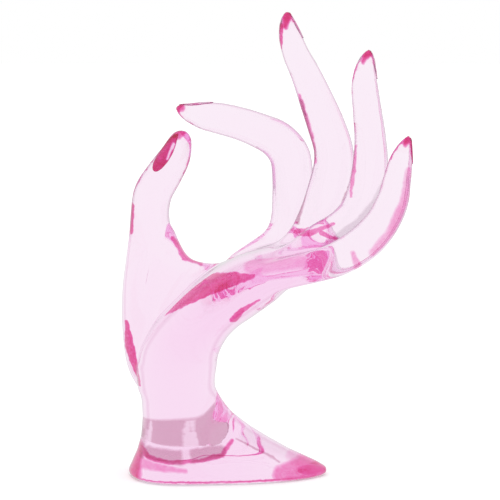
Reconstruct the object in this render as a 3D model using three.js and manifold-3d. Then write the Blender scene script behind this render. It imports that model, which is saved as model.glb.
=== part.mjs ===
// Hand ring holder: a clear cast resin left hand in an open ring gesture, standing on a flared foot.
// Millimetres and degrees. Origin at the middle of the flat underside, +Z up.
// The palm faces -X, the little finger is nearest -Y and the thumb rises on the +Y side.
import * as THREE from "three";
import Module from "manifold-3d";

const wasm = await Module();
wasm.setup();

// Seams
const seamGap = 0.3; // space left between two neighbouring pieces
const fingerGap = 0.6; // space between the roots of two fingers

// Foot: a teardrop with a round heel at -X and a long tail at +X
const footHeel = 35.6;
const footTail = 35.3;
const footDepth = 42.2;
const footHeight = 8;
const footEdge = 1.2; // rounding of the bottom edge
const footEdgeShare = 0.3; // share of that rounding at which its middle facet ends
const footBatter = 2.6; // how far the foot wall leans in over its height
const tailRise = 2.2; // height of the blunt end of the tail
const footFullness = 0.084; // how much squarer than an oval its sections are
const tailPinch = [[0, 0.08], [8, 0.12], [14, 0.5], [30, 0.5]]; // height, share by which the tail narrows
const tailSlope = [[0, 11], [5, 20], [10, 28.3]]; // height above the foot, distance back from the tail's end

// Wrist: the column between foot and palm
const wristTop = 30;
const neckHeight = 21; // height of the slimmest heel side
const neckX = -18.5; // middle of the column at its top
const neckThick = 28;
const neckDepth = 31.5;
const neckWaist = 1.4; // how far the heel side of the column is drawn in at the neck
const neckCurve = [[8, 6.6], [3.5, 2.1], [0, 0]]; // depth below the top, how far the tail's edge stands out
const ankleDepth = 34.6; // front to back where the column meets the foot
const columnSet = 2; // how far in front of the column's middle the foot is broadest

// Palm: a slab that bends back from the wrist towards +X
// Headings, full thicknesses and full breadths, each at a distance along it
const palmHeadings = [
  [0, 91], [14, 78.5], [20, 61], [26, 48.5], [35, 41.5], [44, 36.5], [53, 27.5], [62, 11], [75, 9],
];
const palmThick = [
  [6, 27.6], [13, 26.2], [20, 24], [30, 21.6], [46, 20.8], [54, 19.6], [66, 15.2], [72, 10], [75, 5],
];
const palmBroad = [[14, 33.5], [26, 39], [40, 43], [54, 45], [62, 43], [68, 37], [75, 28]];
const palmFullness = 1.2; // how much squarer than an ellipse its sections are

// Fingers: place of the ray inside the palm, then its bones and how they lift from the horizontal
const knuckleSpacing = 11;
const rayStart = 62; // distance along the palm at which the rays of the fingers begin
const rayOverlap = 0.8; // how far neighbouring rays run into each other inside the palm
const raySeed = [11, 10]; // thickness and breadth of a ray where it begins
const raySwell = 0.6; // share of the first bone at which a ray reaches its neighbours
const fingers = {
  index: {
    place: 1.5,
    back: 10.3,
    raise: -3.2,
    bones: [20, 32.8, 25, 17.5],
    lifts: [25, 44, 72, 89, 121, 158, 168, 166, 160],
    drift: [0, -4.5],
    thick: [14.4, 14.2, 11.8, 7.4],
    tipBroad: 7.6,
    nail: 12,
  },
  middle: {
    place: 0.5,
    back: 2.1,
    raise: -0.2,
    bones: [20, 31, 26, 26],
    lifts: [20, 44, 64, 72, 95, 113, 112, 114, 96],
    drift: [0, 3.4],
    thick: [14.6, 12.6, 10.4, 5.6],
    tipBroad: 7.2,
    nail: 10.5,
  },
  ring: {
    place: -0.5,
    back: 2.5,
    raise: 2.2,
    bones: [22, 30, 22, 20.5],
    lifts: [20, 28, 33, 50, 87, 94, 100, 93, 76],
    drift: [-0.6, -4.4],
    thick: [13, 12.4, 9.5, 6.2],
    tipBroad: 6.8,
    nail: 10.5,
  },
  little: {
    place: -1.45,
    back: 0.3,
    raise: -0.6,
    bones: [20, 27, 13.5, 14],
    lifts: [8, 15, 25, 41, 63, 75, 82, 77, 62],
    drift: [-1.5, -5],
    thick: [12.2, 10.6, 8.2, 6.2],
    tipBroad: 6.4,
    nail: 9,
  },
};

const slimming = 1.5; // power by which a finger's breadth falls towards its tip; 1 is an even taper
const tipLength = 9; // length over which every fingertip closes
const tipRoundness = [1.7, 0.7]; // powers of the closing curve, along and across the finger
const tipShares = [0.25, 0.45, 0.62, 0.76, 0.87, 0.95, 1]; // places of its sections in that length

// Thumb: its first bone lies in the palm
const thumb = {
  start: [-24, 4.6, 27.5],
  bones: [50.5, 23.5, 25.5],
  lifts: [110, 96, 84, 93, 66, 59, 80],
  drifts: [16, 13, 4, 0, -5, -9, -7],
  muscle: [18.6, 22], // thickness and breadth half-way along the first bone
  thick: [15.6, 15, 13.6, 9],
  broad: [13, 15.4, 12.6, 8],
  nail: 13.5,
  nailTurn: 210, // turn of the nail round the thumb from the palm's side; 180 faces straight away
};

// First web: the skin between the thumb and the index side of the palm
const webDrop = 12; // how far below the thumb's root its middle begins
const webReach = 2; // how far up the index ray its other end lies
// Share of the way to the palm, how far its middle lies above and in front of the straight line,
// height, thickness
const webSections = [
  [0, -3, 2.5, 38, 16],
  [0.15, -3.8, 2.5, 47, 17],
  [0.23, -4.2, 2.8, 50, 18.5],
  [0.28, -4.6, 3.2, 44, 19.6],
  [0.33, -5, 3.8, 37, 20.4],
  [0.4, -5.2, 4.6, 31.4, 21],
  [0.5, -4.6, 5, 25.4, 20.5],
  [0.62, -3.4, 4.8, 21.4, 20],
  [0.8, 0.4, 3.6, 17.6, 19],
  [1, 4.6, 2.5, 13, 17],
];

// Nails
const nailThick = 0.9;
const nailStand = 0.2; // how far a nail stands proud of its finger
const nailWrap = 52; // how far round the finger a nail reaches, each way
const nailLift = 0.26; // share of the finger's section that a nail keeps at its free end
const nailOverhang = 0.4; // how far a nail reaches past the fingertip
const nailRoot = [0.18, 0.3]; // share of its width at the root, and of its length until it is full
const nailEnd = [0.12, 0.45]; // the same for its free end
const nailPoint = 2.4; // power of the curve that narrows the free end

// Fineness of the faceted surfaces
const ringSides = 22;
const footSides = 44;
const fingerStep = 3.2;
const palmStep = 3.2;
const baseStep = 1.7;
const wristStep = 2.4;
const webStep = 0.05; // share of the web's length
const nailGrid = [12, 7]; // facets along and across a nail
const bedHeadroom = 3; // how far the cut for a nail stands clear above it
const finestEdge = 0.03; // corners closer than this are joined
const finestTip = 0.02; // share of its section below which a fingertip is a point

const radians = THREE.MathUtils.degToRad;
const up = new THREE.Vector3(0, 0, 1);
const across = new THREE.Vector3(0, 1, 0);

// Values at any distance along a row of [distance, value, ...] knots, joined smoothly.
function smoothRow(knots) {
  const width = knots[0].length - 1;
  const distances = knots.map((knot) => knot[0]);
  const values = knots.flatMap((knot) => knot.slice(1));
  const row = new THREE.CubicInterpolant(distances, values, width);
  return (distance) => Array.from(row.evaluate(distance)).slice(0, width);
}

// Bone ends and middles, the distances at which a ray's headings are given.
function boneMarks(bones) {
  const marks = [0];
  for (const bone of bones) {
    const end = marks[marks.length - 1];
    marks.push(end + bone / 2, end + bone);
  }
  return marks;
}

// Stations along a path that starts at a point and follows its heading: lift from +X towards +Z,
// drift from that plane towards +Y. Each has its distance, point, tangent, side and back directions.
function followPath(start, headings, step) {
  const heading = smoothRow(headings);
  const length = headings[headings.length - 1][0];
  const count = Math.ceil(length / step);
  const fine = 8;
  const point = start.clone();
  const stations = [];
  const tangentAt = (distance) => {
    const [lift, drift] = heading(distance).map(radians);
    return new THREE.Vector3(
      Math.cos(lift) * Math.cos(drift),
      Math.sin(drift),
      Math.sin(lift) * Math.cos(drift),
    );
  };
  for (let i = 0; i <= count; i++) {
    const distance = (length * i) / count;
    const tangent = tangentAt(distance);
    const side = across.clone().addScaledVector(tangent, -across.dot(tangent)).normalize();
    const back = side.clone().cross(tangent);
    stations.push({ distance, point: point.clone(), tangent, side, back });
    for (let k = 0; k < fine && i < count; k++) {
      const part = length / count / fine;
      point.addScaledVector(tangentAt(distance + part * (k + 0.5)), part);
    }
  }
  return stations;
}

// The station at any distance along a path.
function stationAt(stations, distance) {
  const found = stations.findIndex((s) => s.distance >= distance - 1e-9);
  const next = found < 1 ? 1 : found;
  const a = stations[next - 1];
  const b = stations[next];
  const share = (distance - a.distance) / (b.distance - a.distance);
  const mix = (name) => a[name].clone().lerp(b[name], share);
  const tangent = mix("tangent").normalize();
  const side = mix("side").normalize();
  return { distance, point: mix("point"), tangent, side, back: side.clone().cross(tangent) };
}

// Evenly spread values from one end to the other, both included.
function spread(from, to, step) {
  const count = Math.max(1, Math.ceil((to - from) / step - 1e-9));
  return Array.from({ length: count + 1 }, (_, i) => from + ((to - from) * i) / count);
}

// A closed body through rings of points. A ring of one point closes that end to a tip.
function skin(rings) {
  const points = [];
  const faces = [];
  const starts = rings.map((ring) => {
    points.push(...ring);
    return points.length - ring.length;
  });
  const sides = Math.max(...rings.map((ring) => ring.length));
  for (let i = 0; i + 1 < rings.length; i++) {
    for (let j = 0; j < sides; j++) {
      const next = (j + 1) % sides;
      const tipBelow = rings[i].length === 1;
      const tipAbove = rings[i + 1].length === 1;
      const a = starts[i] + (tipBelow ? 0 : j);
      const b = starts[i] + (tipBelow ? 0 : next);
      const c = starts[i + 1] + (tipAbove ? 0 : next);
      const d = starts[i + 1] + (tipAbove ? 0 : j);
      if (!tipBelow) faces.push(a, b, c);
      if (!tipAbove) faces.push(a, c, d);
    }
  }
  const close = (ring, start, facingBack) => {
    if (ring.length === 1) return;
    const middle = ring.reduce((sum, p) => sum.add(p), new THREE.Vector3());
    points.push(middle.divideScalar(ring.length));
    for (let j = 0; j < sides; j++) {
      const pair = [start + j, start + ((j + 1) % sides)];
      if (facingBack) pair.reverse();
      faces.push(points.length - 1, ...pair);
    }
  };
  close(rings[0], starts[0], true);
  close(rings[rings.length - 1], starts[starts.length - 1], false);
  return solidOf(points, faces);
}

function solidOf(points, faces) {
  const vertProperties = new Float32Array(points.flatMap((p) => p.toArray()));
  const triVerts = new Uint32Array(faces);
  return new wasm.Manifold(new wasm.Mesh({ numProp: 3, vertProperties, triVerts }));
}

// A solid whose corners closer together than a facet can show are joined, as cuts leave some.
function welded(solid) {
  const { vertProperties, triVerts } = solid.getMesh();
  const corners = [];
  const cornerOf = [];
  for (let i = 0; i < vertProperties.length; i += 3) {
    const point = new THREE.Vector3().fromArray(vertProperties, i);
    const known = corners.findIndex((corner) => corner.distanceTo(point) < finestEdge);
    cornerOf.push(known < 0 ? corners.push(point) - 1 : known);
  }
  const faces = [];
  for (let i = 0; i < triVerts.length; i += 3) {
    const [a, b, c] = Array.from(triVerts.slice(i, i + 3), (v) => cornerOf[v]);
    if (a !== b && b !== c && c !== a) faces.push(a, b, c);
  }
  return solidOf(corners, faces);
}

// One elliptical ring round a station; fullness above 1 squares it a little.
function ringAt(station, thick, broad, fullness = 1) {
  const ring = [];
  for (let j = 0; j < ringSides; j++) {
    const turn = (2 * Math.PI * j) / ringSides;
    const flat = (value) => Math.sign(value) * Math.abs(value) ** (1 / fullness);
    ring.push(
      station.point
        .clone()
        .addScaledVector(station.back, (thick / 2) * flat(Math.cos(turn)))
        .addScaledVector(station.side, (broad / 2) * flat(Math.sin(turn))),
    );
  }
  return ring;
}

// How much of its section a fingertip keeps towards its end: 1 along the finger, 0 at the very tip.
function tipClosing(distance, length) {
  const share = Math.max(0, (distance - length + tipLength) / tipLength);
  return Math.max(0, 1 - share ** tipRoundness[0]) ** tipRoundness[1];
}

// Foot and wrist
const halfDepthAt = smoothRow([
  [0, footDepth / 2],
  [footHeight, ankleDepth / 2],
  [(footHeight + neckHeight) / 2, (ankleDepth / 2 + neckDepth / 2) / 2],
  [neckHeight, neckDepth / 2],
  [wristTop, neckDepth / 2],
]);
const heelAt = smoothRow([
  [0, -footHeel],
  [footHeight, -footHeel + footBatter],
  [(footHeight + neckHeight) / 2, neckX - neckThick / 2 + neckWaist / 2],
  [neckHeight, neckX - neckThick / 2 + neckWaist],
  [wristTop, neckX - neckThick / 2],
]);
const tailPinchAt = smoothRow(tailPinch);
// The tail's upper edge sweeps from the top of the wrist down to the blunt end.
const tailSweep = smoothRow([
  [tailRise, footTail],
  ...tailSlope.map(([above, back]) => [footHeight + above, footTail - back]),
  ...neckCurve.map(([below, out]) => [wristTop - below, neckX + neckThick / 2 + out]),
]);

// One horizontal section: round at the heel, drawn out and pinched at the tail.
function footRing(height, inset) {
  const heel = heelAt(height)[0] + inset;
  const tail = (height < tailRise ? footTail : tailSweep(height)[0]) - inset;
  const half = halfDepthAt(height)[0] - inset;
  const middle = Math.min(neckX + columnSet, (heel + tail) / 2);
  const reach = (tail - middle) / (middle - heel) - 1;
  const pinch = tailPinchAt(height)[0] * Math.min(1, Math.max(0, reach));
  const ring = [];
  for (let j = 0; j < footSides; j++) {
    const turn = (2 * Math.PI * j) / footSides;
    const forward = Math.cos(turn);
    const aside = Math.sin(turn);
    const fuller = (forward ** 4 + aside ** 4) ** -footFullness;
    const x = middle + forward * (forward > 0 ? tail - middle : middle - heel);
    const y = half * aside * fuller * (1 - pinch * Math.max(0, forward));
    ring.push(new THREE.Vector3(x, y, height));
  }
  return ring;
}

const base = skin([
  footRing(0, footEdge),
  footRing(footEdge * footEdgeShare, footEdge * footEdgeShare),
  ...spread(footEdge, footHeight, baseStep).map((height) => footRing(height, 0)),
]);
const wrist = skin(spread(footHeight, wristTop, wristStep).map((height) => footRing(height, 0)));

// Palm
const wristMiddle = new THREE.Vector3(neckX, 0, wristTop);
const palmPath = followPath(wristMiddle, palmHeadings.map(([at, lift]) => [at, lift, 0]), palmStep);
const palmThickAt = smoothRow([[0, neckThick], ...palmThick]);
const palmBroadAt = smoothRow([[0, neckDepth], ...palmBroad]);
palmPath[0].side.copy(across);
palmPath[0].back.set(1, 0, 0);
const palmRings = palmPath.map((s, i) => {
  const thick = palmThickAt(s.distance)[0];
  return ringAt(s, thick, palmBroadAt(s.distance)[0], i ? palmFullness : 1);
});
const palmCore = skin(palmRings);

// A ray is a finger with the bone that carries it inside the palm.
function fingerRay(finger) {
  const anchor = stationAt(palmPath, rayStart);
  const start = anchor.point
    .clone()
    .addScaledVector(anchor.tangent, -finger.back)
    .addScaledVector(anchor.back, -finger.raise)
    .addScaledVector(across, finger.place * knuckleSpacing);
  const marks = boneMarks(finger.bones);
  const length = marks[marks.length - 1];
  const root = finger.bones[0];
  const headings = marks.map((mark, i) => {
    const [first, last] = finger.drift;
    const share = Math.max(0, mark - root) / (length - root);
    return [mark, finger.lifts[i], mark < root ? 0 : THREE.MathUtils.lerp(first, last, share)];
  });
  const rootBroad = knuckleSpacing - fingerGap;
  const ends = marks.filter((_, i) => i % 2 === 0);
  const outer = ends.slice(1).map((mark, i) => {
    const share = (mark - root) / (length - root);
    return [mark, finger.thick[i], THREE.MathUtils.lerp(rootBroad, finger.tipBroad, share ** slimming)];
  });
  const swell = [root * raySwell, finger.thick[0] - seamGap, knuckleSpacing + rayOverlap];
  const sections = [[0, ...raySeed], swell, ...outer];
  return { stations: followPath(start, headings, fingerStep), sections, length, root };
}

function thumbRay() {
  const marks = boneMarks(thumb.bones);
  const length = marks[marks.length - 1];
  const headings = marks.map((mark, i) => [mark, thumb.lifts[i], thumb.drifts[i]]);
  const ends = marks.filter((_, i) => i % 2 === 0);
  const sections = ends.map((mark, i) => [mark, thumb.thick[i], thumb.broad[i]]);
  sections.splice(1, 0, [marks[1], ...thumb.muscle]);
  const start = new THREE.Vector3(...thumb.start);
  const stations = followPath(start, headings, fingerStep);
  return { stations, sections, length, root: thumb.bones[0] };
}

// The part of a ray between two distances, closed flat or, at the fingertip, to a point.
function raySolid(ray, from, to, grow = 0) {
  const section = smoothRow(ray.sections);
  const tipStart = ray.length - tipLength;
  const distances = spread(from, Math.min(to, tipStart), fingerStep);
  if (to > tipStart) distances.push(...tipShares.map((share) => tipStart + share * tipLength));
  const rings = distances.map((distance) => {
    const s = stationAt(ray.stations, distance);
    const [thick, broad] = section(distance);
    const keep = tipClosing(distance, ray.length);
    if (keep < finestTip) return [s.point.clone().addScaledVector(s.tangent, grow)];
    return ringAt(s, thick * keep + 2 * grow, broad * keep + 2 * grow);
  });
  return skin(rings);
}

// Nails: a curved plate over the back of the fingertip. Depths are measured from the finger's
// section before its tip closes; margin widens the outline.
function nailSolid(ray, nailLength, turn, inner, outer, margin) {
  const section = smoothRow(ray.sections);
  const from = ray.length - nailLength - margin;
  const to = ray.length + nailOverhang + margin;
  const [rows, columns] = nailGrid;
  const grid = (depth) => {
    const points = [];
    for (let i = 0; i <= rows; i++) {
      const share = i / rows;
      const distance = from + (to - from) * share;
      const covered = Math.min(distance, ray.length);
      const s = stationAt(ray.stations, covered);
      const past = Math.max(0, distance - ray.length);
      const [thick, broad] = section(covered);
      const taper = nailLift + (1 - nailLift) * tipClosing(covered, ray.length);
      const rootShare = Math.max(0, 1 - share / nailRoot[1]);
      const endShare = Math.max(0, 1 - (1 - share) / nailEnd[1]);
      const open = THREE.MathUtils.lerp(nailRoot[0], 1, Math.sqrt(1 - rootShare ** 2));
      const close = THREE.MathUtils.lerp(nailEnd[0], 1, Math.sqrt(1 - endShare ** nailPoint));
      const wrap = (nailWrap + 2 * margin) * open * close;
      for (let j = 0; j <= columns; j++) {
        const angle = radians(turn + wrap * ((2 * j) / columns - 1));
        points.push(
          s.point
            .clone()
            .addScaledVector(s.tangent, past)
            .addScaledVector(s.back, (thick * taper * 0.5 + depth) * Math.cos(angle))
            .addScaledVector(s.side, (broad * taper * 0.5 + depth) * Math.sin(angle)),
        );
      }
    }
    return points;
  };
  const points = [...grid(outer), ...grid(inner)];
  const faces = [];
  const width = columns + 1;
  const below = (rows + 1) * width;
  const quad = (a, b, c, d) => faces.push(a, b, c, a, c, d);
  for (let i = 0; i < rows; i++) {
    for (let j = 0; j < columns; j++) {
      const a = i * width + j;
      quad(a, a + 1, a + width + 1, a + width);
      quad(below + a, below + a + width, below + a + width + 1, below + a + 1);
    }
    const left = i * width;
    const right = left + columns;
    quad(left, left + width, below + left + width, below + left);
    quad(right, below + right, below + right + width, right + width);
  }
  const last = rows * width;
  for (let j = 0; j < columns; j++) {
    quad(j, below + j, below + j + 1, j + 1);
    quad(last + j, last + j + 1, below + last + j + 1, below + last + j);
  }
  return solidOf(points, faces);
}

function nailedFinger(ray, nailLength, turn) {
  const whole = raySolid(ray, ray.root, ray.length);
  const under = nailStand - nailThick;
  const plate = nailSolid(ray, nailLength, turn, under, nailStand, 0);
  const bed = nailSolid(ray, nailLength, turn, under - seamGap, nailStand + bedHeadroom, seamGap);
  return { finger: welded(whole.subtract(bed)), nail: welded(plate) };
}

const rays = { thumb: thumbRay() };
for (const [name, finger] of Object.entries(fingers)) rays[name] = fingerRay(finger);

const thumbPair = nailedFinger(rays.thumb, thumb.nail, thumb.nailTurn);
const digits = { thumb: thumbPair.finger };
const nails = { thumb: thumbPair.nail };
for (const [name, finger] of Object.entries(fingers)) {
  const pair = nailedFinger(rays[name], finger.nail, 0);
  digits[name] = pair.finger;
  nails[name] = pair.nail;
}

// The web sags between the thumb's root and the index side of the palm, and runs up the thumb.
const webFrom = stationAt(rays.thumb.stations, rays.thumb.root - webDrop).point;
const webTo = stationAt(rays.index.stations, webReach).point;
const webSectionAt = smoothRow(webSections);
const webRings = spread(0, 1, webStep).map((share) => {
  const [rise, forward, height, thick] = webSectionAt(share);
  const point = webFrom.clone().lerp(webTo, share).addScaledVector(up, rise).addScaledVector(across, -forward);
  return ringAt({ point, side: across, back: up }, height, thick);
}).reverse();

let palm = palmCore.add(skin(webRings));
for (const ray of Object.values(rays)) palm = palm.add(raySolid(ray, 0, ray.root - seamGap));
for (const ray of Object.values(rays)) {
  palm = palm.subtract(raySolid(ray, ray.root - seamGap, ray.length, seamGap));
}
// The palm stands on the wrist, so nothing of it reaches below that seam.
const [deep, wide] = [2 * wristTop, 2 * (footHeel + footTail)];
const under = [-deep, 0].map((height) => {
  const corner = (x, y) => new THREE.Vector3(x * wide, y * wide, wristTop + height);
  return [corner(-1, -1), corner(1, -1), corner(1, 1), corner(-1, 1)];
});
palm = welded(palm.subtract(skin(under)));

// Scene
const resin = new THREE.MeshStandardMaterial({ color: "#f5c6e6", roughness: 0.08, metalness: 0 });
const nailResin = new THREE.MeshStandardMaterial({ color: "#dd3f92", roughness: 0.1, metalness: 0 });

const holder = new THREE.Group();
function addPiece(name, solid, material) {
  const mesh = solid.getMesh();
  const geometry = new THREE.BufferGeometry()
    .setAttribute("position", new THREE.BufferAttribute(mesh.vertProperties, 3))
    .setIndex(new THREE.BufferAttribute(mesh.triVerts, 1));
  geometry.computeVertexNormals();
  const piece = new THREE.Mesh(geometry, material);
  piece.name = name;
  holder.add(piece);
}

addPiece("base", base, resin);
addPiece("wrist", wrist, resin);
addPiece("palm", palm, resin);
for (const name of Object.keys(rays)) {
  addPiece(name === "thumb" ? name : name + "_finger", digits[name], resin);
  addPiece(name + "_nail", nails[name], nailResin);
}

export default holder;
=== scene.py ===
import math

import bmesh
import bpy
from mathutils import Matrix, Vector


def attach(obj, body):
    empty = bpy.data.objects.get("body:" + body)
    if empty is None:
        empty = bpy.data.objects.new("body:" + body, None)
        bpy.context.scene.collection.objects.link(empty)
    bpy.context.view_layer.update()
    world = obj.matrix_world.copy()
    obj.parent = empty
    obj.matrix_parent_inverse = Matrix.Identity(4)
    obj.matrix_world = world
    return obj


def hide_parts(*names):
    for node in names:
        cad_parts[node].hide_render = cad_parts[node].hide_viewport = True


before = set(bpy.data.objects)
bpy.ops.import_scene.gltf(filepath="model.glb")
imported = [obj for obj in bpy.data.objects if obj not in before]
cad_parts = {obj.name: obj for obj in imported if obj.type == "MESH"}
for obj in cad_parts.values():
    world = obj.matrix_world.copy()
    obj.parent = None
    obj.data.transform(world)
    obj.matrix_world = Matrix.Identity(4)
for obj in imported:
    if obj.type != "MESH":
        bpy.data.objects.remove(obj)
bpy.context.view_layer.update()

MM = 0.001

# Camera: level with the lowest fingertips, looking along +Y at the little finger's side of the hand,
# as the photograph was taken.
CAMERA_PLACE = Vector((7.737, -893.29, 190.7)) * MM
CAMERA_AIM = Vector((7.737, 0, 81.015)) * MM
CAMERA_LENS = 182.085
CAMERA_SENSOR = 36

camera_data = bpy.data.cameras.new("photo_camera")
camera_data.lens = CAMERA_LENS
camera_data.sensor_width = CAMERA_SENSOR
camera = bpy.data.objects.new("photo_camera", camera_data)
camera.location = CAMERA_PLACE
camera.rotation_euler = (CAMERA_AIM - CAMERA_PLACE).to_track_quat("-Z", "Y").to_euler()
bpy.context.scene.collection.objects.link(camera)
bpy.context.scene.camera = camera

# Foot: a solid teardrop slab of the casting, flat underneath, with walls that lean in and a rounded
# lower edge. Its round heel lies under the wrist and its tail runs out behind the hand.
FOOT_SIDES = 96
FOOT_HEEL_X = -36
FOOT_TAIL_X = 35.6
FOOT_MIDDLE_X = -16.5
FOOT_PINCH = 0.08
# How far an outline fills out towards a rounded box
OUTLINE_SQUARENESS = 0.14
OUTLINE_FULLNESS = 0.6
# Height, heel inset, tail inset and half depth of each level
FOOT_LEVELS = [
    (0.0, 1.2, 1.4, 19.9),
    (0.5, 0.3, 0.4, 20.8),
    (1.2, 0.0, 0.0, 21.2),
    (2.4, 0.2, 0.2, 21.0),
    (4.5, 1.3, 3.8, 19.6),
    (6.5, 2.4, 8.2, 18.2),
    (8.0, 3.6, 11.4, 16.6),
]


def bridged(bm, rings):
    """A closed skin through rings of equal count, capped at both ends."""
    for low, high in zip(rings, rings[1:]):
        bmesh.ops.bridge_loops(bm, edges=low + high)
    for ring in (rings[0], rings[-1]):
        bmesh.ops.holes_fill(bm, edges=ring, sides=0)


def level_ring(bm, height, heel, tail, half, middle, pinch):
    """One level outline: round at the heel, drawn out and pinched at the tail."""
    made = bmesh.ops.create_circle(bm, segments=FOOT_SIDES, radius=1)
    for v in made["verts"]:
        forward = max(0, v.co.x)
        reach = tail - middle if v.co.x > 0 else middle - heel
        fuller = (v.co.x ** 4 + v.co.y ** 4) ** -OUTLINE_SQUARENESS
        v.co = Vector((
            middle + v.co.x * reach,
            v.co.y * half * (1 - pinch * forward) * fuller ** OUTLINE_FULLNESS,
            height,
        )) * MM
    return list({edge for v in made["verts"] for edge in v.link_edges})


body = bmesh.new()
foot = [
    level_ring(body, height, FOOT_HEEL_X + heel, FOOT_TAIL_X - tail, half, FOOT_MIDDLE_X, FOOT_PINCH)
    for height, heel, tail, half in FOOT_LEVELS
]
bridged(body, foot)

# Wrist: a stout oval column that rises from the heel of the foot, and a fin that sweeps down behind it
# to the foot's tail. Both are one casting with the foot.
WRIST_LEVELS = [
    # Height, heel X, back X, half depth
    (5.0, -34.6, -1.0, 17.2),
    (9.0, -32.8, -2.2, 17.0),
    (14.0, -31.4, -3.0, 16.4),
    (21.0, -30.8, -3.8, 15.9),
    (27.0, -31.1, -4.4, 15.7),
    (33.0, -32.5, -5.0, 15.8),
    (40.0, -33.0, -4.8, 16.2),
]
# Height, back edge and half depth of the fin
FIN_LEVELS = [
    (2.0, 33.0, 14.0),
    (5.7, 29.3, 13.6),
    (9.0, 22.1, 13.6),
    (13.0, 14.9, 13.6),
    (17.4, 7.7, 13.6),
    (22.1, 1.6, 13.4),
    (26.8, -2.1, 12.6),
    (32.0, -5.0, 11.0),
]
FIN_START_X = -20
FIN_PINCH = 0.2

wrist = [
    level_ring(body, height, heel, back, half, (heel + back) / 2, 0)
    for height, heel, back, half in WRIST_LEVELS
]
bridged(body, wrist)
fin = [
    level_ring(body, height, FIN_START_X, back, half, (FIN_START_X + back) / 2, FIN_PINCH)
    for height, back, half in FIN_LEVELS
]
bridged(body, fin)

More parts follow.
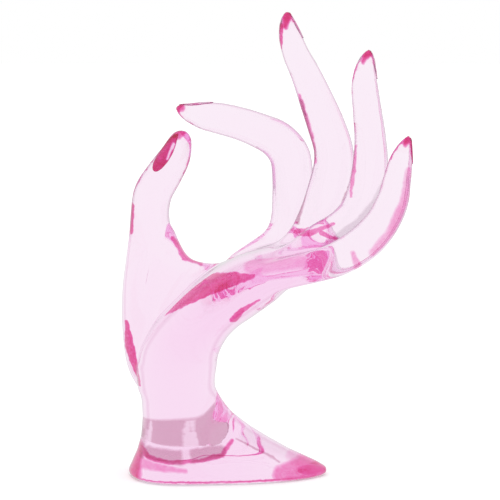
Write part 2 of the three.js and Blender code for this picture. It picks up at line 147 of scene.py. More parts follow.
# Palm, thumb and fingers: tapering limbs that run into one another, thick at the heel of the hand and
# thin towards the pointed fingertips. Each is a row of stations along its middle line:
# X, Z and Y of the middle, thickness seen from the side, breadth from front to back.
LIMB_SIDES = 40
LIMB_STEP = 1.0
LIMBS = {
    "palm": [
        (-18.8, 30.0, 0.0, 27.4, 31.5),
        (-18.4, 37.7, 0.0, 27.8, 32.6),
        (-17.6, 42.5, 0.0, 28.0, 34.0),
        (-14.6, 49.4, 0.0, 25.4, 37.5),
        (-9.4, 56.5, 0.0, 22.8, 40.5),
        (-3.6, 62.0, 0.0, 21.8, 42.5),
        (2.7, 66.3, 0.0, 21.6, 44.0),
        (9.2, 70.2, 0.0, 20.4, 45.0),
        (16.8, 73.9, 0.0, 17.2, 44.6),
        (25.0, 76.9, -4.0, 12.2, 35.0),
        (30.0, 78.8, -8.5, 8.0, 23.0),
        (33.5, 80.2, -11.0, 4.6, 14.0),
        (36.5, 81.4, -12.5, 2.0, 7.0),
    ],
    "thumb": [
        (-23.0, 26.0, 4.0, 13.0, 10.0),
        (-25.2, 33.0, 5.8, 15.6, 17.0),
        (-28.0, 40.5, 8.0, 17.8, 21.0),
        (-29.6, 52.2, 11.0, 17.8, 22.0),
        (-30.1, 64.6, 13.4, 16.8, 19.4),
        (-29.3, 74.7, 14.8, 16.0, 16.4),
        (-28.4, 84.0, 15.3, 15.4, 14.8),
        (-28.4, 93.0, 15.5, 14.0, 14.0),
        (-27.2, 100.0, 15.3, 14.0, 13.2),
        (-23.2, 106.8, 14.2, 13.2, 12.4),
        (-19.4, 113.0, 13.0, 11.6, 11.2),
        (-17.4, 118.3, 12.1, 9.0, 9.0),
        (-16.5, 121.2, 11.7, 6.4, 6.0),
        (-16.1, 122.7, 11.5, 2.8, 2.4),
    ],
    "index_finger": [
        (2.0, 70.9, 15.5, 12.0, 12.6),
        (11.0, 75.8, 16.5, 14.0, 12.0),
        (18.6, 81.0, 16.6, 14.9, 11.2),
        (22.3, 88.0, 16.5, 15.0, 10.9),
        (23.1, 97.0, 16.3, 15.0, 10.8),
        (23.1, 106.0, 16.1, 15.0, 10.8),
        (22.0, 113.6, 15.8, 14.8, 10.8),
        (17.5, 119.2, 15.5, 14.0, 10.6),
        (11.2, 122.4, 15.2, 12.8, 10.4),
        (4.1, 125.0, 14.9, 12.0, 10.0),
        (-3.0, 126.8, 14.7, 11.4, 9.4),
        (-9.2, 127.9, 14.4, 10.0, 8.6),
        (-14.2, 129.0, 14.3, 6.8, 6.8),
        (-17.4, 130.4, 14.2, 4.0, 4.2),
        (-18.9, 131.0, 14.2, 1.2, 1.6),
    ],
    "middle_finger": [
        (12.0, 73.5, 5.4, 13.0, 12.6),
        (21.5, 77.5, 5.5, 14.6, 12.2),
        (28.2, 83.8, 5.5, 15.0, 11.4),
        (32.6, 92.5, 5.6, 15.0, 11.0),
        (35.8, 101.9, 5.6, 15.2, 10.8),
        (37.6, 110.0, 5.7, 14.8, 10.8),
        (37.4, 117.0, 5.9, 14.2, 10.6),
        (34.7, 125.4, 6.3, 13.6, 10.2),
        (31.2, 134.4, 6.7, 12.4, 9.6),
        (27.7, 142.8, 7.2, 10.9, 9.0),
        (24.2, 150.0, 7.5, 9.6, 8.2),
        (21.9, 156.8, 8.0, 8.2, 7.0),
        (21.0, 161.6, 7.9, 5.6, 4.8),
        (21.0, 164.6, 7.8, 2.8, 2.4),
        (21.1, 165.6, 7.8, 1.2, 1.0),
    ],
    "ring_finger": [
        (14.0, 74.2, -5.4, 12.0, 12.6),
        (24.0, 78.4, -5.5, 13.0, 12.2),
        (32.4, 84.6, -5.6, 13.4, 11.4),
        (40.6, 89.9, -5.8, 13.0, 11.0),
        (46.0, 96.0, -5.9, 13.0, 10.6),
        (49.0, 103.4, -6.0, 13.6, 10.4),
        (50.1, 112.0, -6.3, 12.8, 10.2),
        (50.0, 121.0, -6.7, 11.4, 9.8),
        (48.9, 130.7, -7.3, 10.4, 9.2),
        (47.9, 139.2, -7.9, 9.6, 8.4),
        (48.0, 145.0, -8.4, 8.0, 7.0),
        (48.7, 149.6, -8.5, 5.2, 4.6),
        (49.1, 151.9, -8.5, 2.4, 2.2),
        (49.3, 152.8, -8.5, 1.0, 0.9),
    ],
    "little_finger": [
        (10.0, 71.4, -15.4, 11.6, 12.4),
        (21.0, 74.9, -16.0, 11.4, 12.0),
        (31.0, 77.4, -16.2, 11.8, 11.0),
        (39.5, 80.5, -16.4, 12.8, 10.6),
        (47.8, 86.0, -16.8, 13.0, 10.4),
        (53.5, 92.4, -17.2, 12.2, 10.0),
        (57.3, 100.2, -17.6, 11.4, 9.4),
        (59.0, 108.6, -18.0, 9.8, 8.4),
        (60.3, 115.0, -18.4, 8.2, 7.0),
        (61.6, 119.6, -18.6, 5.2, 4.8),
        (62.7, 122.4, -18.7, 2.4, 2.4),
        (63.1, 123.4, -18.7, 1.0, 1.0),
    ],
}


def smooth_row(stations, step):
    """Values between the stations on one smooth curve, about a step apart."""
    ends = [stations[0], *stations, stations[-1]]
    row = []
    for a, b, c, d in zip(ends, ends[1:], ends[2:], ends[3:]):
        gap = math.dist(b[:3], c[:3])
        count = max(1, round(gap / step))
        for i in range(count):
            t = i / count
            row.append([
                0.5 * (2 * q + (r - p) * t + (2 * p - 5 * q + 4 * r - s) * t ** 2
                       + (3 * q - p - 3 * r + s) * t ** 3)
                for p, q, r, s in zip(a, b, c, d)
            ])
    return row + [list(stations[-1])]


def limb_rings(bm, stations):
    """Oval rings square to a limb's middle line."""
    row = smooth_row(stations, LIMB_STEP)
    points = [Vector((x, y, z)) for x, z, y, _, _ in row]
    rings = []
    for i, (x, z, y, thick, broad) in enumerate(row):
        ahead = points[min(i + 1, len(points) - 1)] - points[max(i - 1, 0)]
        side = (Vector((0, 1, 0)) - ahead * ahead.y / ahead.length_squared).normalized()
        back = side.cross(ahead.normalized())
        turn = Matrix((back * thick / 2, side * broad / 2, ahead.normalized())).transposed()
        place = Matrix.Translation(points[i] * MM) @ (turn * MM).to_4x4()
        made = bmesh.ops.create_circle(bm, segments=LIMB_SIDES, radius=1, matrix=place)
        rings.append(list({edge for v in made["verts"] for edge in v.link_edges}))
    return rings


for stations in LIMBS.values():
    bridged(body, limb_rings(body, stations))

# First web: the skin that sags from the root of the thumb to the index side of the palm, with the mass
# of the hand under it.
WEB = [
    (-30.0, 62.0, 11.0, 38.0, 18.0),
    (-24.0, 61.0, 10.5, 33.0, 20.0),
    (-18.0, 60.5, 10.0, 29.0, 21.0),
    (-12.0, 60.8, 10.0, 27.0, 21.0),
    (-5.0, 63.6, 10.5, 22.0, 20.0),
    (3.0, 68.4, 11.5, 17.0, 18.0),
    (11.0, 73.6, 13.0, 12.0, 14.0),
]
WEB_FLARE = [
    (-31.0, 70.0, 14.8, 46.0, 14.0),
    (-25.0, 70.0, 14.0, 44.0, 15.0),
    (-20.6, 70.0, 13.0, 36.0, 15.0),
    (-18.8, 70.0, 12.6, 28.0, 15.0),
    (-16.6, 70.0, 12.2, 19.4, 15.0),
    (-13.6, 70.0, 12.0, 12.8, 15.0),
    (-9.0, 70.0, 12.0, 10.0, 15.0),
    (-3.0, 70.0, 12.0, 9.0, 14.0),
]
bridged(body, limb_rings(body, WEB_FLARE))
bridged(body, limb_rings(body, WEB))

# The casting: foot, wrist, palm and fingers poured in one mould, so they melt into one another.
# Clear resin with a pale pink tint that deepens with the depth of resin the light has crossed.
CASTING_VOXEL = 0.7
SMOOTHING_SHARE = 0.5
CASTING_SMOOTHING = 12
CASTING_BLENDING = 60
# Where the limbs run into one another most softly: a line in X and Z, and its reach
CASTING_BLENDS = [
    ((16.0, 76.0), (38.0, 84.0), 12.0),
    ((-5.0, 10.0), (-5.0, 28.0), 8.0),
    ((-20.0, 62.0), (-4.0, 72.0), 9.0),
]

bmesh.ops.recalc_face_normals(body, faces=body.faces)
casting_mesh = bpy.data.meshes.new("casting")
body.to_mesh(casting_mesh)
body.free()
casting = bpy.data.objects.new("casting", casting_mesh)
bpy.context.scene.collection.objects.link(casting)


def apply_modifiers(piece):
    """Writes a piece's modifiers into its mesh."""
    graph = bpy.context.evaluated_depsgraph_get()
    finished = bpy.data.meshes.new_from_object(piece.evaluated_get(graph))
    piece.modifiers.clear()
    piece.data = finished


merge = casting.modifiers.new("merge", "REMESH")
merge.mode = "VOXEL"
merge.voxel_size = CASTING_VOXEL * MM
merge.use_smooth_shade = True
apply_modifiers(casting)


def near_line(place, start, end, reach):
    """1 on the line between two X, Z places, falling to 0 at some reach from it."""
    run = Vector(end) - Vector(start)
    away = Vector((place.x, place.z)) / MM - Vector(start)
    share = min(1, max(0, away.dot(run) / run.length_squared))
    return max(0, 1 - (away - run * share).length / reach)


blends = casting.vertex_groups.new(name="blends")
for v in casting.data.vertices:
    weight = max(near_line(v.co, start, end, reach) for start, end, reach in CASTING_BLENDS)
    if weight > 0:
        blends.add([v.index], min(1, 2 * weight), "REPLACE")
for name, rounds, group in (("soften", CASTING_SMOOTHING, ""), ("blend", CASTING_BLENDING, "blends")):
    soften = casting.modifiers.new(name, "SMOOTH")
    soften.factor = SMOOTHING_SHARE
    soften.iterations = rounds
    soften.vertex_group = group
apply_modifiers(casting)
casting.data.polygons.foreach_set("use_smooth", [True] * len(casting.data.polygons))

# Colours of the resin: pale all through, with painted light and shade over it: deep pink for light trapped
# inside, mauve and grey shade, dark outlines and a pink glow
RESIN_IOR = 1.5
RESIN_DEPTH_COLOUR = (0.995, 0.93, 0.98, 1)
RESIN_DEPTH_DENSITY = 100
RESIN_PALE = (0.96, 0.89, 0.95, 1)
RESIN_PAINTED_TRAPPED_PINK = (0.64, 0.009, 0.125, 1)
RESIN_PAINTED_MAUVE_SHADE = (0.5, 0.25, 0.34, 1)
RESIN_PAINTED_GREY_SHADE = (0.4, 0.33, 0.38, 1)
RESIN_PAINTED_RIM_SHADE = (0.014, 0.008, 0.012, 1)
# Just inside each outline a soft line of painted shade follows the round of the resin
RESIN_PAINTED_LINE_SHADE = (0.62, 0.34, 0.5, 1)
INNER_LINE_FACING = 0.58
INNER_LINE_WIDTH = 0.1
INNER_LINE_STRENGTH = 0.4
# Painted dark outlines, a painted shade at the grazing edges, are finer on the palm than on the fingers
# above these heights
KNUCKLE_HEIGHTS = (80, 90)
EDGE_SHARPNESS = (12, 5.5)
# Painted glow: light mirrored to and fro inside the resin past some bounces comes out as a pink glow; in
# mirrored light the painted deep pink is weaker
RESIN_PAINTED_GLOW = (0.84, 0.16, 0.46, 1)
RESIN_PAINTED_GLOW_LIGHT = (0.9, 0.42, 0.7, 1)
TRAPPED_VEIN = (0.45, 0.6)
TRAPPED_BOUNCES = 4.5
MIRRORED_DEEP = 0.3
MIRRORED_LEAST = 0.5
IN_MM = (1000, 1000, 1000)
STREAK_NOISE_SCALE = 0.5
STREAK_NOISE_DETAIL = 3
STREAK_RAGGED = 1.1
VEIN_SCALE = 0.6
VEIN_DETAIL = 2
VEIN_DISTORTION = 1.5
VEIN_DEPTH = 1.1

# Where the painted light and shade lie: start X, Z and radius, end X, Z and radius, nearest and farthest Y,
# softness and strength of each streak
THROUGH = (-40, 40)
NEAR_PALM = (-40, -6)
FAR_WALL = (2, 40)
# Painted deep pink, standing in for light trapped and mirrored inside the resin at tips, heel, tail,
# creases, edges and knuckles
PAINTED_TRAPPED_PINKS = [
    # Fingertips
    ((-18.2, 121.4, 1.2), (-17.4, 122.6, 1.6), THROUGH, 0.8, 0.75),
    ((-16.8, 131.0, 0.8), (-19.0, 131.0, 1.4), THROUGH, 0.9, 0.75),
    ((20.4, 159.6, 0.1), (21.0, 164.8, 1.2), THROUGH, 0.8, 0.8),
    ((18.7, 152.5, 0.2), (18.9, 160.5, 0.4), (-1, 8), 0.4, 0.9),
    ((47.2, 148.2, 0.1), (49.3, 152.2, 1.1), THROUGH, 0.8, 0.8),
    ((61.4, 120.2, 0.2), (62.8, 122.8, 1.0), THROUGH, 0.8, 0.75),
    ((64.4, 114.5, 0.2), (63.6, 121.0, 0.5), THROUGH, 0.5, 0.6),
    # Tail and heel of the foot, and the line round it
    ((18.4, 3.0, 1.8), (34.0, 3.4, 5.0), THROUGH, 1.4, 0.5),
    ((-32.8, 10.5, 1.6), (-36.6, 1.6, 4.4), THROUGH, 2.0, 1.1),
    ((-31.8, 11.6, 0.8), (-28.2, 8.8, 0.6), (-40, -7), 0.7, 0.8),
    ((-28.2, 8.8, 0.6), (-21.0, 7.6, 0.4), (-40, -7), 0.6, 0.7),
    ((-21.0, 7.6, 0.4), (-10.0, 8.0, 0.3), (-40, -7), 0.5, 0.6),
    ((-10.0, 8.0, 0.3), (-2.0, 9.6, 0.5), (-40, -7), 0.5, 0.7),
    ((-2.0, 9.6, 0.5), (1.2, 14.4, 0.4), (-40, -6), 0.6, 0.7),
    ((-32.4, 6.6, 1.2), (-15.0, 5.0, 0.1), (-40, -7), 0.9, 0.35),
    ((-34.0, 1.2, 0.1), (30.0, 1.0, 0.3), (-40, -3), 0.35, 0.6),
    # Under the line of the thumb's muscle
    ((-27.6, 56.2, 0.6), (-17.4, 64.0, 2.0), NEAR_PALM, 0.4, 0.9),
    ((-17.4, 64.2, 2.0), (-7.9, 69.8, 2.8), NEAR_PALM, 0.4, 1.0),
    ((-7.9, 69.8, 2.8), (2.5, 73.2, 1.8), NEAR_PALM, 0.4, 1.0),
    ((2.5, 73.2, 1.8), (9.0, 74.4, 0.3), NEAR_PALM, 0.4, 0.8),
    # Heel of the hand, outer edge of the thumb, corner of the web
    ((-36.6, 54.5, 0.4), (-35.4, 46.0, 1.7), (-40, 8), 0.4, 1.0),
    ((-35.4, 46.0, 1.7), (-31.6, 33.4, 0.3), (-40, 8), 0.4, 1.0),
    ((-34.8, 95.5, 0.7), (-35.0, 86.0, 0.5), (4, 14), 0.4, 0.9),
    ((-20.2, 84.4, 0.2), (-15.8, 77.6, 0.9), THROUGH, 0.5, 0.7),
    ((-15.8, 77.6, 0.9), (-9.8, 75.0, 0.3), THROUGH, 0.5, 0.7),
    # Edges of the fingers
    ((25.4, 136.0, 0.1), (28.6, 122.0, 1.3), (-1, 6), 0.6, 0.45),
    ((28.6, 122.0, 1.3), (31.0, 112.0, 0.2), (-1, 6), 0.6, 0.45),
    ((44.8, 119.0, 0.1), (43.9, 110.0, 0.7), (-14, -7), 0.4, 0.5),
    ((43.9, 110.0, 0.7), (43.2, 101.0, 0.1), (-14, -7), 0.4, 0.45),
    ((62.8, 111.0, 0.8), (61.6, 101.0, 1.3), (-40, -12), 1.0, 0.22),
    ((61.6, 101.0, 1.3), (56.6, 89.6, 1.3), (-40, -12), 1.0, 0.2),
    ((56.6, 89.6, 1.3), (50.2, 82.6, 0.8), (-40, -12), 1.0, 0.16),
    ((2.0, 58.8, 1.1), (5.0, 62.2, 0.7), (-40, -4), 0.5, 0.9),
    ((5.0, 62.2, 0.7), (11.0, 66.0, 0.1), (-40, -4), 0.4, 0.7),
    # Knuckles
    ((23.7, 87.4, 0.5), (29.4, 88.2, 0.7), (-14, 4), 0.4, 0.6),
    ((29.4, 88.2, 0.7), (37.0, 91.6, 0.3), (-14, 0), 0.4, 0.5),
    ((32.8, 88.4, 0.5), (38.4, 85.8, 0.3), (-14, 0), 0.4, 0.6),
    ((43.4, 82.6, 0.3), (45.6, 77.0, 1.0), (-40, -12), 0.8, 0.3),
    ((8.0, 77.0, 1.6), (26.0, 79.4, 1.2), (-40, -12), 1.4, 0.2),
]
PAINTED_MAUVE_SHADES = [
    # Painted shade on the lower wrist, standing in for the back of the foot seen through the resin
    ((-26.0, 12.9, 4.8), (-6.0, 12.9, 4.8), FAR_WALL, 1.4, 1.0),
    ((-28.0, 10.4, 1.6), (-16.0, 9.2, 2.0), (-40, -2), 1.0, 1.0),
    ((-16.0, 9.2, 2.0), (-3.0, 11.0, 1.6), (-40, -2), 1.0, 1.0),
    ((-30.8, 8.5, 0.5), (-30.4, 17.0, 0.3), THROUGH, 0.8, 0.8),
    # Painted shade in the crease of the fin
    ((2.9, 14.9, 0.1), (18.3, 6.6, 0.1), (-40, -2), 0.35, 0.9),
    # Painted shade where the index and middle fingers overlap
    ((25.8, 134.0, 0.3), (30.6, 115.0, 0.7), (-1, 7), 0.5, 0.9),
    ((30.6, 115.0, 0.6), (24.6, 90.4, 0.3), (-3, 7), 0.5, 1.1),
    ((44.2, 106.0, 0.3), (40.6, 95.6, 0.9), (-1, 7), 0.5, 1.1),
]
PAINTED_GREY_SHADES = [
    # Painted shade on the underside of the ring finger
    ((32.5, 82.8, 0.2), (38.2, 86.6, 1.0), (-14, -3), 0.8, 0.4),
    ((38.2, 86.6, 1.0), (46.6, 92.4, 1.4), (-14, -3), 0.8, 0.5),
    ((46.6, 92.4, 1.4), (52.0, 99.2, 1.2), (-14, -3), 0.8, 0.5),
    ((52.0, 99.2, 1.2), (55.6, 108.0, 0.4), (-14, -3), 0.8, 0.4),
    # Painted shade on the upper side of the fin
    ((6.0, 15.6, 1.0), (24.0, 7.4, 0.6), (-40, 0), 1.6, 0.18),
]
# Painted highlights: lighter gleams in the painted mauve of the wrist and in the thumb's painted nail pink
PAINTED_GLEAMS = [
    ((-14.4, 5.0, 1.2), (-15.2, 16.0, 0.3), (-40, 0), 1.2, 0.85),
    ((-16.7, 8.0, 0.5), (-16.9, 17.5, 0.05), FAR_WALL, 0.5, 0.75),
    ((-21.9, 112.8, 0.15), (-19.5, 118.2, 0.35), THROUGH, 0.6, 0.95),
]

streak = bpy.data.node_groups.new("painted_streak", "ShaderNodeTree")
for label, kind in (
    ("Place", "NodeSocketVector"), ("Start", "NodeSocketVector"), ("End", "NodeSocketVector"),
    ("Start Radius", "NodeSocketFloat"), ("End Radius", "NodeSocketFloat"),
    ("Softness", "NodeSocketFloat"), ("Near", "NodeSocketFloat"), ("Far", "NodeSocketFloat"),
    ("Strength", "NodeSocketFloat"),
):
    streak.interface.new_socket(name=label, in_out="INPUT", socket_type=kind)
streak.interface.new_socket(name="Mask", in_out="OUTPUT", socket_type="NodeSocketFloat")


def math_node(tree, operation, *values):
    """One maths node; a value is a number or an output to link."""
    node = tree.nodes.new("ShaderNodeMath")
    node.operation = operation
    for socket, value in zip(node.inputs, values):
        if isinstance(value, (int, float)):
            socket.default_value = value
        else:
            tree.links.new(value, socket)
    return node.outputs[0]


def vector_node(tree, operation, *values):
    """One vector maths node; gives its vector, or its number where the sum is a number."""
    node = tree.nodes.new("ShaderNodeVectorMath")
    node.operation = operation
    for socket, value in zip(node.inputs, values):
        if isinstance(value, tuple):
            socket.default_value = value
        else:
            tree.links.new(value, socket)
    return node.outputs["Value" if operation in ("DOT_PRODUCT", "LENGTH") else "Vector"]


streak_in = streak.nodes.new("NodeGroupInput").outputs
streak_flat = vector_node(streak, "MULTIPLY", streak_in["Place"], (1, 0, 1))
streak_run = vector_node(streak, "SUBTRACT", streak_in["End"], streak_in["Start"])
streak_away = vector_node(streak, "SUBTRACT", streak_flat, streak_in["Start"])
streak_length = vector_node(streak, "DOT_PRODUCT", streak_run, streak_run)
streak_share = math_node(
    streak, "DIVIDE", vector_node(streak, "DOT_PRODUCT", streak_away, streak_run), streak_length
)
streak_share.node.use_clamp = True
streak_scaled = streak.nodes.new("ShaderNodeVectorMath")
streak_scaled.operation = "SCALE"
streak.links.new(streak_run, streak_scaled.inputs[0])
streak.links.new(streak_share, streak_scaled.inputs["Scale"])
streak_off = vector_node(
    streak, "LENGTH", vector_node(streak, "SUBTRACT", streak_away, streak_scaled.outputs[0])
)
streak_widening = math_node(streak, "SUBTRACT", streak_in["End Radius"], streak_in["Start Radius"])
streak_radius = math_node(streak, "MULTIPLY_ADD", streak_widening, streak_share, streak_in["Start Radius"])
streak_reach = math_node(streak, "ADD", streak_radius, streak_in["Softness"])
streak_inside = math_node(
    streak, "DIVIDE", math_node(streak, "SUBTRACT", streak_reach, streak_off), streak_in["Softness"]
)
streak_inside.node.use_clamp = True
streak_depth = streak.nodes.new("ShaderNodeSeparateXYZ")
streak.links.new(streak_in["Place"], streak_depth.inputs[0])
streak_after = math_node(streak, "GREATER_THAN", streak_depth.outputs["Y"], streak_in["Near"])
streak_before = math_node(streak, "LESS_THAN", streak_depth.outputs["Y"], streak_in["Far"])
streak_mask = math_node(
    streak, "MULTIPLY",
    math_node(streak, "MULTIPLY", streak_inside, streak_in["Strength"]),
    math_node(streak, "MULTIPLY", streak_after, streak_before),
)
streak.links.new(streak_mask, streak.nodes.new("NodeGroupOutput").inputs["Mask"])

painted_marks = bpy.data.node_groups.new("painted_light_and_shade", "ShaderNodeTree")
for label in ("Deep", "Mauve", "Grey", "Clear", "Vein"):
    painted_marks.interface.new_socket(name=label, in_out="OUTPUT", socket_type="NodeSocketFloat")
marks_place = vector_node(
    painted_marks, "MULTIPLY", painted_marks.nodes.new("ShaderNodeTexCoord").outputs["Object"], IN_MM
)
marks_noise = painted_marks.nodes.new("ShaderNodeTexNoise")
marks_noise.inputs["Scale"].default_value = STREAK_NOISE_SCALE
marks_noise.inputs["Detail"].default_value = STREAK_NOISE_DETAIL
painted_marks.links.new(marks_place, marks_noise.inputs["Vector"])
marks_shift = vector_node(
    painted_marks, "MULTIPLY", vector_node(painted_marks, "SUBTRACT", marks_noise.outputs["Color"], (0.5, 0.5, 0.5)),
    (STREAK_RAGGED, STREAK_RAGGED, STREAK_RAGGED),
)
marks_ragged = vector_node(painted_marks, "ADD", marks_place, marks_shift)


def painted_streaks(streaks):
    """The strongest of some streaks at each place."""
    mask = None
    for start, end, (near, far), softness, strength in streaks:
        node = painted_marks.nodes.new("ShaderNodeGroup")
        node.node_tree = streak
        painted_marks.links.new(marks_ragged, node.inputs["Place"])
        node.inputs["Start"].default_value = (start[0], 0, start[1])
        node.inputs["End"].default_value = (end[0], 0, end[1])
        node.inputs["Start Radius"].default_value = start[2]
        node.inputs["End Radius"].default_value = end[2]
        node.inputs["Softness"].default_value = softness
        node.inputs["Near"].default_value = near
        node.inputs["Far"].default_value = far
        node.inputs["Strength"].default_value = strength
        found = node.outputs["Mask"]
        mask = found if mask is None else math_node(painted_marks, "MAXIMUM", mask, found)
    return mask


marks_out = painted_marks.nodes.new("NodeGroupOutput")
# One less the painted highlights
outside_painted_gleams = math_node(painted_marks, "SUBTRACT", 1, painted_streaks(PAINTED_GLEAMS))
painted_marks.links.new(outside_painted_gleams, marks_out.inputs["Clear"])
marks_veins = painted_marks.nodes.new("ShaderNodeTexNoise")
marks_veins.inputs["Scale"].default_value = VEIN_SCALE
marks_veins.inputs["Detail"].default_value = VEIN_DETAIL
marks_veins.inputs["Distortion"].default_value = VEIN_DISTORTION
painted_marks.links.new(marks_place, marks_veins.inputs["Vector"])
marks_vein = math_node(painted_marks, "MULTIPLY_ADD", marks_veins.outputs["Fac"], VEIN_DEPTH, 1 - VEIN_DEPTH / 2)
# Painted deep pink for light trapped in the resin, patchy with the veins
painted_trapped_pink = math_node(painted_marks, "MULTIPLY", painted_streaks(PAINTED_TRAPPED_PINKS), marks_vein)
painted_marks.links.new(painted_trapped_pink, marks_out.inputs["Deep"])
painted_marks.links.new(painted_streaks(PAINTED_GREY_SHADES), marks_out.inputs["Grey"])
painted_marks.links.new(marks_veins.outputs["Fac"], marks_out.inputs["Vein"])
# Painted mauve shade, lighter where the painted highlights lie
painted_mauve_shade = math_node(painted_marks, "MULTIPLY", painted_streaks(PAINTED_MAUVE_SHADES), outside_painted_gleams)
painted_marks.links.new(painted_mauve_shade, marks_out.inputs["Mauve"])


def painted_over(tree, pale, layers):
    """A pale colour deepened by layers of painted light and shade, each as far as its share says."""
    colour = tree.nodes.new("ShaderNodeRGB").outputs[0]
    colour.default_value = pale
    for layer_colour, share in layers:
        deeper = tree.nodes.new("ShaderNodeGamma")
        deeper.inputs["Color"].default_value = layer_colour
        tree.links.new(share, deeper.inputs["Gamma"])
        both = tree.nodes.new("ShaderNodeMix")
        both.data_type = "RGBA"
        both.blend_type = "MULTIPLY"
        both.inputs["Factor"].default_value = 1
        tree.links.new(colour, both.inputs[6])
        tree.links.new(deeper.outputs["Color"], both.inputs[7])
        colour = both.outputs[2]
    return colour


resin = bpy.data.materials.new("clear_pink_resin")
resin.use_nodes = True
resin_nodes = resin.node_tree.nodes
resin_links = resin.node_tree.links
resin_shader = resin_nodes["Principled BSDF"]
resin_shader.inputs["Roughness"].default_value = 0.0
resin_shader.inputs["IOR"].default_value = RESIN_IOR
resin_shader.inputs["Transmission Weight"].default_value = 1
resin_painted_marks = resin_nodes.new("ShaderNodeGroup")
resin_painted_marks.node_tree = painted_marks
resin_path = resin_nodes.new("ShaderNodeLightPath")
resin_tree = resin.node_tree
resin_straight = math_node(resin_tree, "LESS_THAN", resin_path.outputs["Glossy Depth"], MIRRORED_LEAST)
resin_direct = math_node(resin_tree, "MULTIPLY_ADD", resin_straight, 1 - MIRRORED_DEEP, MIRRORED_DEEP)
resin_facing = resin_nodes.new("ShaderNodeLayerWeight")
resin_facing.inputs["Blend"].default_value = 0.5
resin_height = resin_nodes.new("ShaderNodeSeparateXYZ")
resin_links.new(resin_nodes.new("ShaderNodeTexCoord").outputs["Object"], resin_height.inputs[0])
resin_sharpness = resin_nodes.new("ShaderNodeMapRange")
resin_sharpness.inputs["From Min"].default_value = KNUCKLE_HEIGHTS[0] * MM
resin_sharpness.inputs["From Max"].default_value = KNUCKLE_HEIGHTS[1] * MM
resin_sharpness.inputs["To Min"].default_value = EDGE_SHARPNESS[0]
resin_sharpness.inputs["To Max"].default_value = EDGE_SHARPNESS[1]
resin_links.new(resin_height.outputs["Z"], resin_sharpness.inputs["Value"])
# Painted shade: dark outlines where the resin turns away from view
resin_painted_rim = math_node(
    resin_tree, "POWER", resin_facing.outputs["Facing"], resin_sharpness.outputs["Result"]
)
# Painted shade: a soft line just inside the outline, where the surface turns to a set slant
resin_near_line = math_node(
    resin_tree, "ABSOLUTE",
    math_node(resin_tree, "SUBTRACT", resin_facing.outputs["Facing"], INNER_LINE_FACING),
)
resin_painted_line = math_node(resin_tree, "MULTIPLY_ADD", resin_near_line, -1 / INNER_LINE_WIDTH, 1)
resin_painted_line.node.use_clamp = True
resin_painted_line_share = math_node(resin_tree, "MULTIPLY", resin_painted_line, INNER_LINE_STRENGTH)
# The resin's colour: pale, with painted shade lines, painted deep pink, painted mauve and grey shade and
# painted dark outlines multiplied over it
resin_painted_colour = painted_over(resin_tree, RESIN_PALE, (
    (RESIN_PAINTED_LINE_SHADE, math_node(resin_tree, "MULTIPLY", resin_painted_line_share, resin_straight)),
    (RESIN_PAINTED_TRAPPED_PINK, math_node(resin_tree, "MULTIPLY", resin_painted_marks.outputs["Deep"], resin_direct)),
    (RESIN_PAINTED_MAUVE_SHADE, math_node(resin_tree, "MULTIPLY", resin_painted_marks.outputs["Mauve"], resin_straight)),
    (RESIN_PAINTED_GREY_SHADE, resin_painted_marks.outputs["Grey"]),
    (RESIN_PAINTED_RIM_SHADE, resin_painted_rim),
))
resin_links.new(resin_painted_colour, resin_shader.inputs["Base Color"])
# Past TRAPPED_BOUNCES mirrorings inside the resin a painted pink glow takes over from the glass
resin_trapped = resin_nodes.new("ShaderNodeMath")
resin_trapped.operation = "GREATER_THAN"
resin_trapped.inputs[1].default_value = TRAPPED_BOUNCES
resin_painted_glow = resin_nodes.new("ShaderNodeEmission")
resin_vein = resin_nodes.new("ShaderNodeMapRange")
resin_vein.interpolation_type = "SMOOTHSTEP"
resin_vein.inputs["From Min"].default_value = TRAPPED_VEIN[0]
resin_vein.inputs["From Max"].default_value = TRAPPED_VEIN[1]
resin_links.new(resin_painted_marks.outputs["Vein"], resin_vein.inputs["Value"])
resin_painted_glow_colour = resin_nodes.new("ShaderNodeMix")
resin_painted_glow_colour.data_type = "RGBA"
resin_painted_glow_colour.inputs[6].default_value = RESIN_PAINTED_GLOW
resin_painted_glow_colour.inputs[7].default_value = RESIN_PAINTED_GLOW_LIGHT
resin_links.new(resin_vein.outputs["Result"], resin_painted_glow_colour.inputs["Factor"])
resin_links.new(resin_painted_glow_colour.outputs[2], resin_painted_glow.inputs["Color"])
resin_mix = resin_nodes.new("ShaderNodeMixShader")
resin_links.new(resin_path.outputs["Glossy Depth"], resin_trapped.inputs[0])
resin_links.new(resin_trapped.outputs[0], resin_mix.inputs[0])
resin_links.new(resin_shader.outputs["BSDF"], resin_mix.inputs[1])
resin_links.new(resin_painted_glow.outputs["Emission"], resin_mix.inputs[2])
resin_links.new(resin_mix.outputs["Shader"], resin_nodes["Material Output"].inputs["Surface"])
resin_depth = resin_nodes.new("ShaderNodeVolumeAbsorption")
resin_depth.inputs["Color"].default_value = RESIN_DEPTH_COLOUR
resin_depth.inputs["Density"].default_value = RESIN_DEPTH_DENSITY
resin_links.new(resin_depth.outputs["Volume"], resin_nodes["Material Output"].inputs["Volume"])
casting.data.materials.clear()
casting.data.materials.append(resin)

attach(casting, "root")
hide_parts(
    "base", "wrist", "palm", "thumb", "index_finger", "middle_finger", "ring_finger",
    "little_finger",
)

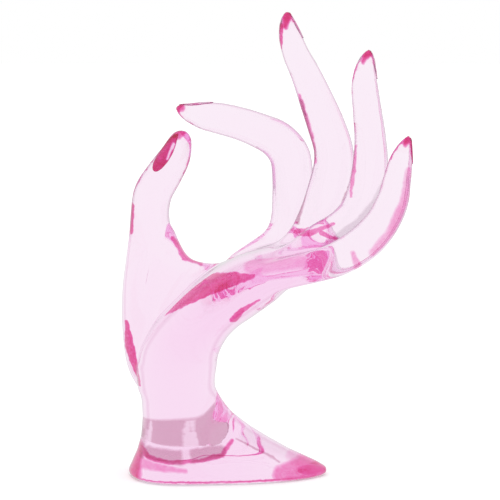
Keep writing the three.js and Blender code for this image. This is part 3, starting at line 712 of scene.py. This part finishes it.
# Nails: five almond-shaped plates moulded into the fingertips of the same resin, each following the
# round of its finger and ending in its tip, where painted deep pink stands in for light trapped in the tip.
NAIL_GRID = 12
NAIL_PLATE = 0.55
NAIL_SUNK = 0.3
NAIL_EDGE = 0.16
NAIL_AWAY = 1.5
NAIL_TAPER = 0.72
NAIL_TAPER_CURVE = 1.4
NAIL_SMOOTHING = 3
NAIL_EDGE_STEPS = 2
NAIL_PALE = (0.95, 0.84, 0.92, 1)
NAIL_PAINTED_TRAPPED_PINK = (0.66, 0.022, 0.2, 1)
NAIL_CLOUD_SCALE = 0.22
NAIL_CLOUD_DETAIL = 3
NAIL_CLOUD_DISTORTION = 1.2
NAIL_CLOUD_DEPTH = 1.2
# Below this height, and left of the foot's middle, the nail is the thumb's and painted deep pink all over,
# for light trapped in it
NAIL_THUMB_TOP = 122.6
# Painted shade: a dark rim painted round each nail's outline
NAIL_PAINTED_RIM_SHADE = (0.06, 0.02, 0.035, 1)
NAIL_RIM_SHARPNESS = 4
# Root, tip, direction outward, width
NAILS = {
    "thumb_nail": ((-26.4, 9.0, 107.6), (-17.0, 9.8, 122.4), (-0.72, -0.66, 0.22), 7.6),
    "index_nail": ((-5.0, 14.6, 132.5), (-18.6, 14.2, 131.8), (-0.12, 0, 0.99), 6.6),
    "middle_nail": ((26.9, 7.9, 155.6), (21.6, 7.8, 165.6), (0.93, 0, 0.36), 5.4),
    "ring_nail": ((52.6, -8.3, 141.9), (49.8, -8.5, 152.8), (0.99, 0, 0.12), 5.4),
    "little_nail": ((64.6, -18.4, 113.0), (63.4, -18.7, 123.4), (0.99, 0, 0.0), 5.0),
}

nail_pieces = []
for nail_name, (root, tip, outward, width) in NAILS.items():
    root = Vector(root)
    along = Vector(tip) - root
    length = along.length
    along.normalize()
    out = Vector(outward)
    out = (out - along * out.dot(along)).normalized()
    across = along.cross(out)
    plate = bmesh.new()
    bmesh.ops.create_grid(plate, x_segments=NAIL_GRID, y_segments=NAIL_GRID, size=1)
    for v in plate.verts:
        u = v.co.y * math.sqrt(1 - v.co.x ** 2 / 2)
        w = v.co.x * math.sqrt(1 - v.co.y ** 2 / 2)
        taper = 1 - NAIL_TAPER * max(0, u) ** NAIL_TAPER_CURVE
        v.co = (
            root + along * length * (u + 1) / 2 + across * w * width / 2 * taper + out * NAIL_AWAY
        ) * MM
    bmesh.ops.recalc_face_normals(plate, faces=plate.faces)
    if plate.faces[0].normal.dot(out) < 0:
        bmesh.ops.reverse_faces(plate, faces=plate.faces)
    nail_mesh = bpy.data.meshes.new(nail_name + "_plate")
    plate.to_mesh(nail_mesh)
    plate.free()
    nail = bpy.data.objects.new(nail_name + "_plate", nail_mesh)
    bpy.context.scene.collection.objects.link(nail)
    wrap = nail.modifiers.new("wrap", "SHRINKWRAP")
    wrap.target = casting
    wrap.wrap_method = "NEAREST_SURFACEPOINT"
    wrap.offset = -NAIL_SUNK * MM
    relax = nail.modifiers.new("relax", "SMOOTH")
    relax.factor = SMOOTHING_SHARE
    relax.iterations = NAIL_SMOOTHING
    thicken = nail.modifiers.new("thicken", "SOLIDIFY")
    thicken.thickness = NAIL_PLATE * MM
    thicken.offset = 1
    round_edge = nail.modifiers.new("round_edge", "BEVEL")
    round_edge.width = NAIL_EDGE * MM
    round_edge.segments = NAIL_EDGE_STEPS
    round_edge.limit_method = "ANGLE"
    apply_modifiers(nail)
    nail.data.polygons.foreach_set("use_smooth", [True] * len(nail.data.polygons))
    nail_pieces.append((nail, nail_name))

nail_material = bpy.data.materials.new("pink_nail")
nail_material.use_nodes = True
nail_shader = nail_material.node_tree.nodes["Principled BSDF"]
nail_shader.inputs["Roughness"].default_value = 0.0
nail_shader.inputs["IOR"].default_value = RESIN_IOR
nail_shader.inputs["Transmission Weight"].default_value = 1
nail_tree = nail_material.node_tree
nail_place = vector_node(
    nail_tree, "MULTIPLY", nail_tree.nodes.new("ShaderNodeTexCoord").outputs["Object"], IN_MM
)
nail_cloud = nail_tree.nodes.new("ShaderNodeTexNoise")
nail_cloud.inputs["Scale"].default_value = NAIL_CLOUD_SCALE
nail_cloud.inputs["Detail"].default_value = NAIL_CLOUD_DETAIL
nail_cloud.inputs["Distortion"].default_value = NAIL_CLOUD_DISTORTION
nail_tree.links.new(nail_place, nail_cloud.inputs["Vector"])
nail_clouds = math_node(
    nail_tree, "MULTIPLY_ADD", nail_cloud.outputs["Fac"], NAIL_CLOUD_DEPTH, 1 - NAIL_CLOUD_DEPTH / 2
)
nail_painted_marks = nail_tree.nodes.new("ShaderNodeGroup")
nail_painted_marks.node_tree = painted_marks
nail_thumb = nail_tree.nodes.new("ShaderNodeSeparateXYZ")
nail_tree.links.new(nail_place, nail_thumb.inputs[0])
nail_on_thumb = math_node(
    nail_tree, "MULTIPLY",
    math_node(nail_tree, "LESS_THAN", nail_thumb.outputs["Z"], NAIL_THUMB_TOP),
    math_node(nail_tree, "LESS_THAN", nail_thumb.outputs["X"], 0),
)
# Painted deep pink of light trapped in the tips and over the thumb's nail, patchy with the clouds and
# lighter in the painted highlight
nail_painted_pink = math_node(
    nail_tree, "MULTIPLY",
    math_node(nail_tree, "MAXIMUM", nail_painted_marks.outputs["Deep"], nail_on_thumb),
    math_node(nail_tree, "MULTIPLY", nail_clouds, nail_painted_marks.outputs["Clear"]),
)
nail_facing = nail_tree.nodes.new("ShaderNodeLayerWeight")
nail_facing.inputs["Blend"].default_value = 0.5
# Painted dark rim at the nail's grazing edges
nail_painted_rim = math_node(nail_tree, "POWER", nail_facing.outputs["Facing"], NAIL_RIM_SHARPNESS)
nail_colour = painted_over(nail_tree, NAIL_PALE, ((NAIL_PAINTED_TRAPPED_PINK, nail_painted_pink), (NAIL_PAINTED_RIM_SHADE, nail_painted_rim)))
nail_tree.links.new(nail_colour, nail_shader.inputs["Base Color"])
for nail, nail_name in nail_pieces:
    nail.data.materials.clear()
    nail.data.materials.append(nail_material)
    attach(nail, "root")
    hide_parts(nail_name)

# Floor: a plain white sweep under the holder, which keeps its soft shadow. Through the resin and in its
# reflections the sweep is white.
FLOOR_DROP = 0.2
FLOOR_HALF = 3
FLOOR_COLOUR = (0.9, 0.9, 0.9, 1)
FLOOR_LIFT = 0.3
WHITE = (1, 1, 1, 1)

floor_bm = bmesh.new()
bmesh.ops.create_grid(
    floor_bm, x_segments=1, y_segments=1, size=FLOOR_HALF,
    matrix=Matrix.Translation((0, 0, -FLOOR_DROP * MM)),
)
floor_mesh = bpy.data.meshes.new("floor")
floor_bm.to_mesh(floor_mesh)
floor_bm.free()
floor = bpy.data.objects.new("floor", floor_mesh)
bpy.context.scene.collection.objects.link(floor)
floor_paint = bpy.data.materials.new("floor_white")
floor_paint.use_nodes = True
floor_nodes = floor_paint.node_tree.nodes
floor_links = floor_paint.node_tree.links
floor_shader = floor_nodes["Principled BSDF"]
floor_shader.inputs["Base Color"].default_value = FLOOR_COLOUR
floor_shader.inputs["Roughness"].default_value = 1
floor_shader.inputs["Specular IOR Level"].default_value = 0
floor_shader.inputs["Emission Color"].default_value = WHITE
floor_shader.inputs["Emission Strength"].default_value = FLOOR_LIFT
floor_path = floor_nodes.new("ShaderNodeLightPath")
floor_seen = floor_nodes.new("ShaderNodeMath")
floor_seen.operation = "MAXIMUM"
floor_white = floor_nodes.new("ShaderNodeEmission")
floor_mix = floor_nodes.new("ShaderNodeMixShader")
floor_links.new(floor_path.outputs["Is Transmission Ray"], floor_seen.inputs[0])
floor_links.new(floor_path.outputs["Is Glossy Ray"], floor_seen.inputs[1])
floor_links.new(floor_seen.outputs[0], floor_mix.inputs[0])
floor_links.new(floor_shader.outputs["BSDF"], floor_mix.inputs[1])
floor_links.new(floor_white.outputs["Emission"], floor_mix.inputs[2])
floor_links.new(floor_mix.outputs["Shader"], floor_nodes["Material Output"].inputs["Surface"])
floor.data.materials.append(floor_paint)

# Light: a plain white room all round the holder, seen white by the camera and through the resin,
# as in a photographer's light tent.
world = bpy.data.worlds.new("white_room")
world.use_nodes = True
bpy.context.scene.world = world
room = world.node_tree.nodes["Background"]
room.inputs["Color"].default_value = WHITE
room.inputs["Strength"].default_value = 1

bpy.context.scene.view_settings.view_transform = "Standard"
